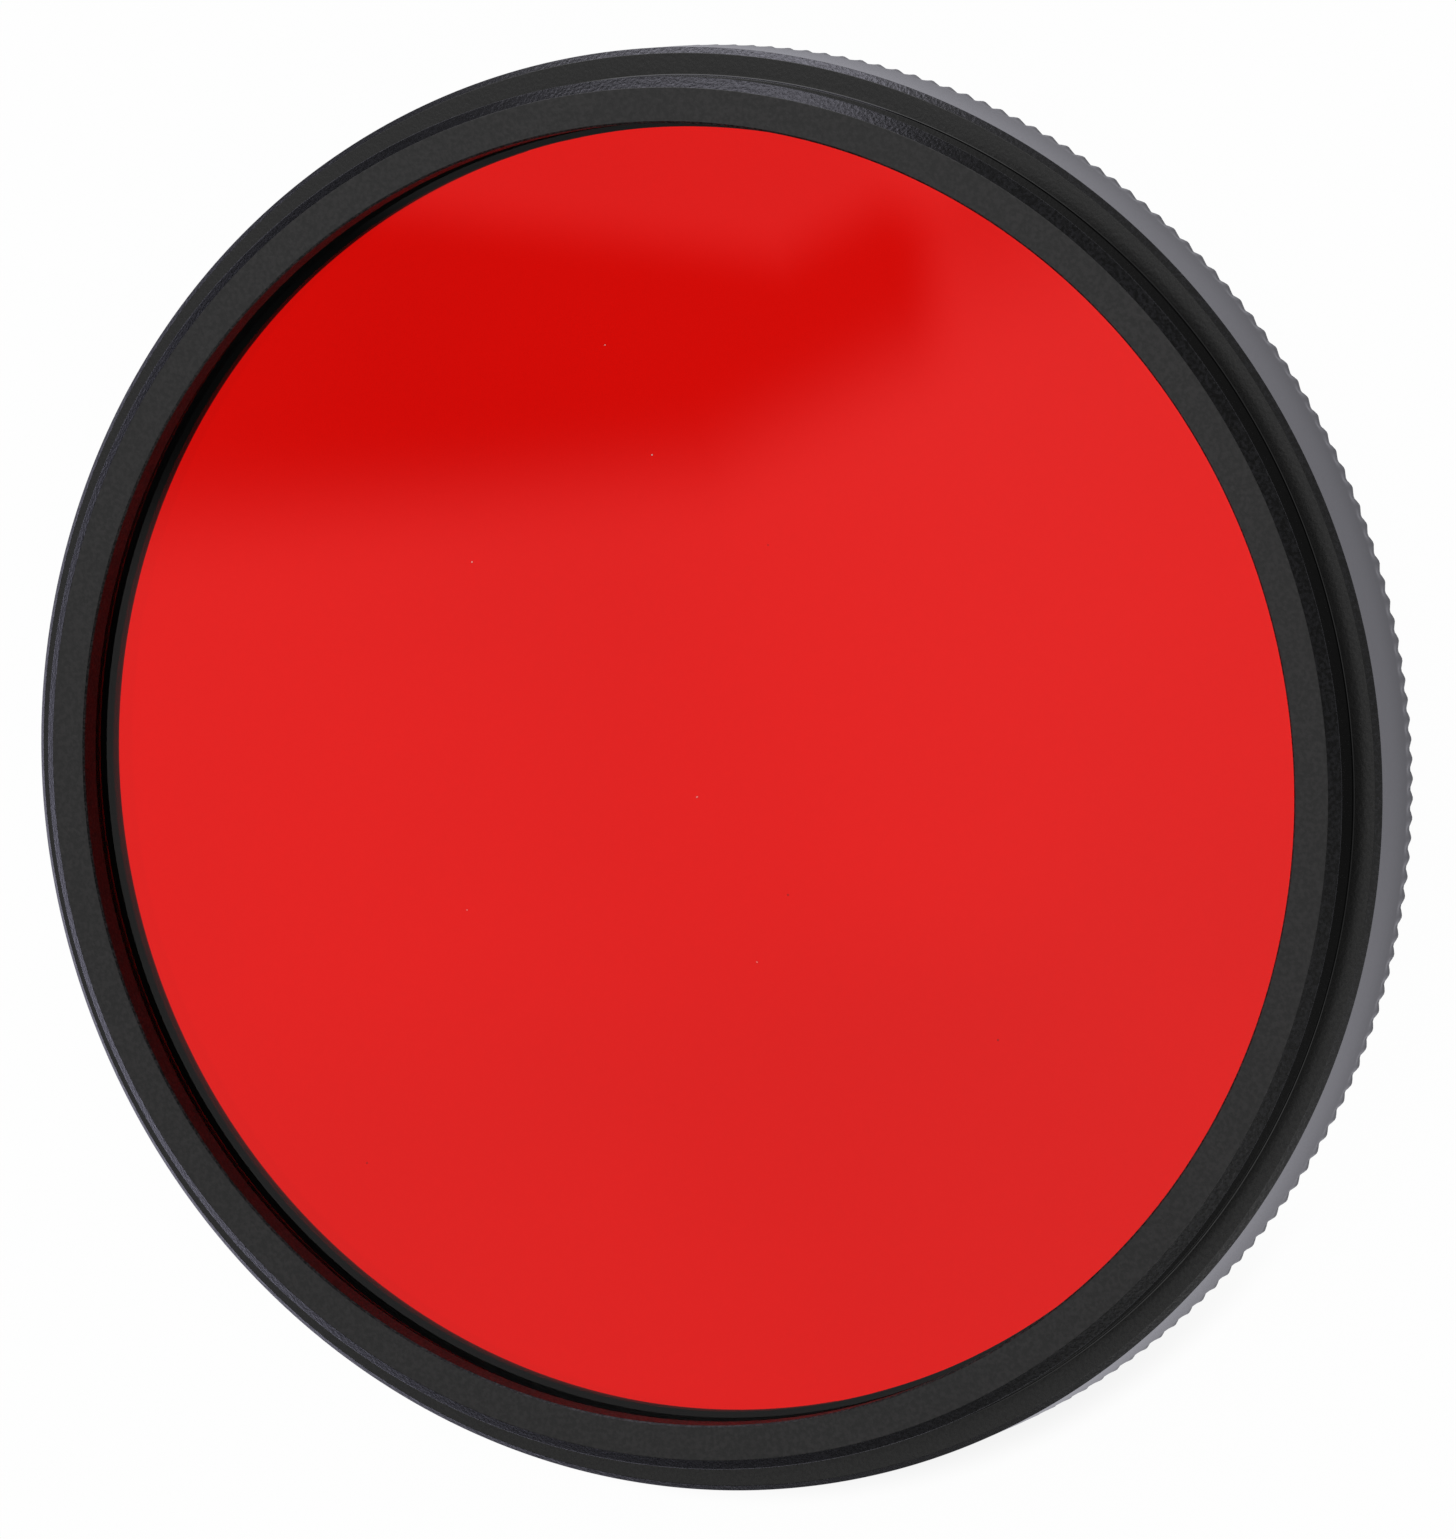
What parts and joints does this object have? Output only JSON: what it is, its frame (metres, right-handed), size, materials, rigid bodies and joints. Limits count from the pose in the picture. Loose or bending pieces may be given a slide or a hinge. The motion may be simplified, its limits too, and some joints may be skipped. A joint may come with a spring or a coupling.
{
  "type": "colour lens filter",
  "caption": "Round screw-in lens filter: red dyed glass in a matt black turned ring with a stepped spigot and a knurled front rim.",
  "frame": {"origin": "centre of the front rim, on the surface that the filter lies on", "axes": "+Z along the optical axis, from the front rim towards the lens; the ring is the same all round, so +X and +Y are free"},
  "size_m": [0.054, 0.054, 0.0057],
  "materials": {
    "anodised": "matt black anodised, fine grained",
    "red_glass": "polished, dyed red throughout",
    "retainer_black": "matt black anodised"
  },
  "bodies": {
    "root": {"frame": "anodised", "filter_glass": "red_glass", "retaining_ring": "retainer_black"}
  },
  "joints": []
}
